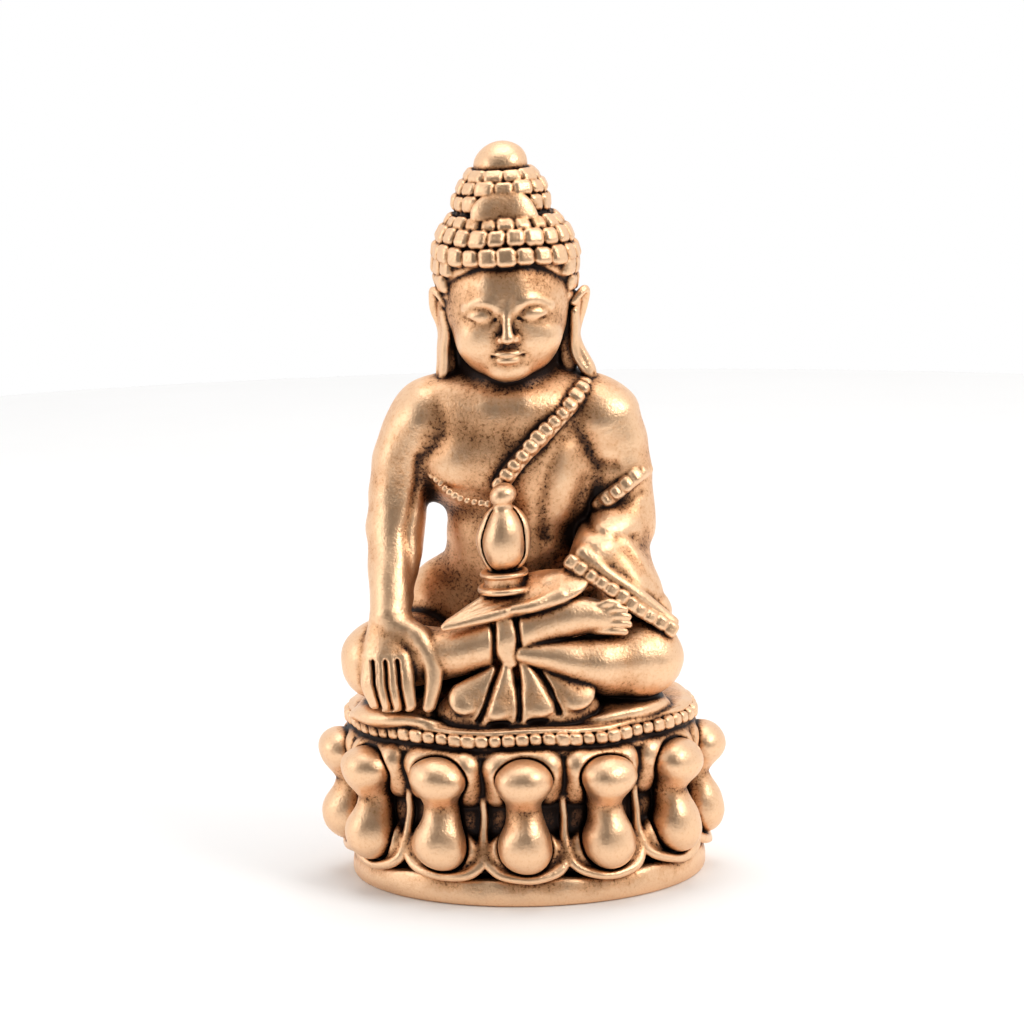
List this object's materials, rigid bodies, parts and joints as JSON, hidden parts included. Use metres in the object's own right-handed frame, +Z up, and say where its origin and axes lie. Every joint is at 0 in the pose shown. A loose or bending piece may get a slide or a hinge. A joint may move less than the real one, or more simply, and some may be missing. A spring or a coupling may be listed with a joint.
{
  "type": "buddha statue",
  "caption": "Small hollow-cast metal seated buddha on an oval lotus throne, touching the earth with the right hand and holding a lidded jar, with a loose bead sealed in the base.",
  "frame": {"origin": "middle of the flat face that the plinth rests on", "axes": "+Z up through the figure, the figure faces -Y, its right hand is on the -X side"},
  "size_m": [0.0166, 0.0126, 0.03],
  "materials": {
    "cast_bronze": "lost-wax casting, high places rubbed bright, hollows dark with patina",
    "plate_brass": "filed flat and dulled, with a darker seam round it",
    "bead_brass": "plain turned ball, unpolished"
  },
  "bodies": {
    "statue": {"plinth": "cast_bronze", "base_plate": "plate_brass", "lotus_drum": "cast_bronze", "deck": "cast_bronze", "deck_bead_ring": "cast_bronze", "lower_petal_1": "cast_bronze", "lower_petal_2": "cast_bronze", "lower_petal_3": "cast_bronze", "lower_petal_4": "cast_bronze", "lower_petal_5": "cast_bronze", "lower_petal_6": "cast_bronze", "lower_petal_7": "cast_bronze", "upper_petal_1": "cast_bronze", "upper_petal_2": "cast_bronze", "upper_petal_3": "cast_bronze", "upper_petal_4": "cast_bronze", "upper_petal_5": "cast_bronze", "upper_petal_6": "cast_bronze", "upper_petal_7": "cast_bronze", "torso": "cast_bronze", "neck": "cast_bronze", "right_upper_arm": "cast_bronze", "right_forearm": "cast_bronze", "right_hand": "cast_bronze", "left_upper_arm": "cast_bronze", "left_forearm": "cast_bronze", "left_hand": "cast_bronze", "left_sleeve_fall": "cast_bronze", "right_leg": "cast_bronze", "left_leg": "cast_bronze", "right_foot": "cast_bronze", "robe_pleat": "cast_bronze", "robe_fan": "cast_bronze", "robe_hem_beads": "cast_bronze", "robe_chest_cord": "cast_bronze", "left_armlet_beads": "cast_bronze", "sleeve_hem_beads": "cast_bronze", "jar_foot": "cast_bronze", "jar_body": "cast_bronze", "jar_lid": "cast_bronze", "head": "cast_bronze", "right_ear": "cast_bronze", "left_ear": "cast_bronze", "hair_cap": "cast_bronze", "hair_curls": "cast_bronze", "topknot": "cast_bronze", "topknot_plaque": "cast_bronze", "topknot_curls": "cast_bronze", "finial": "cast_bronze"},
    "rattle": {"rattle_bead": "bead_brass"}
  },
  "joints": [
    {"name": "rattle_roll", "type": "slide", "parent": "statue", "child": "rattle", "axis": [1, 0, 0], "range_m": [0, 0.006]}
  ]
}
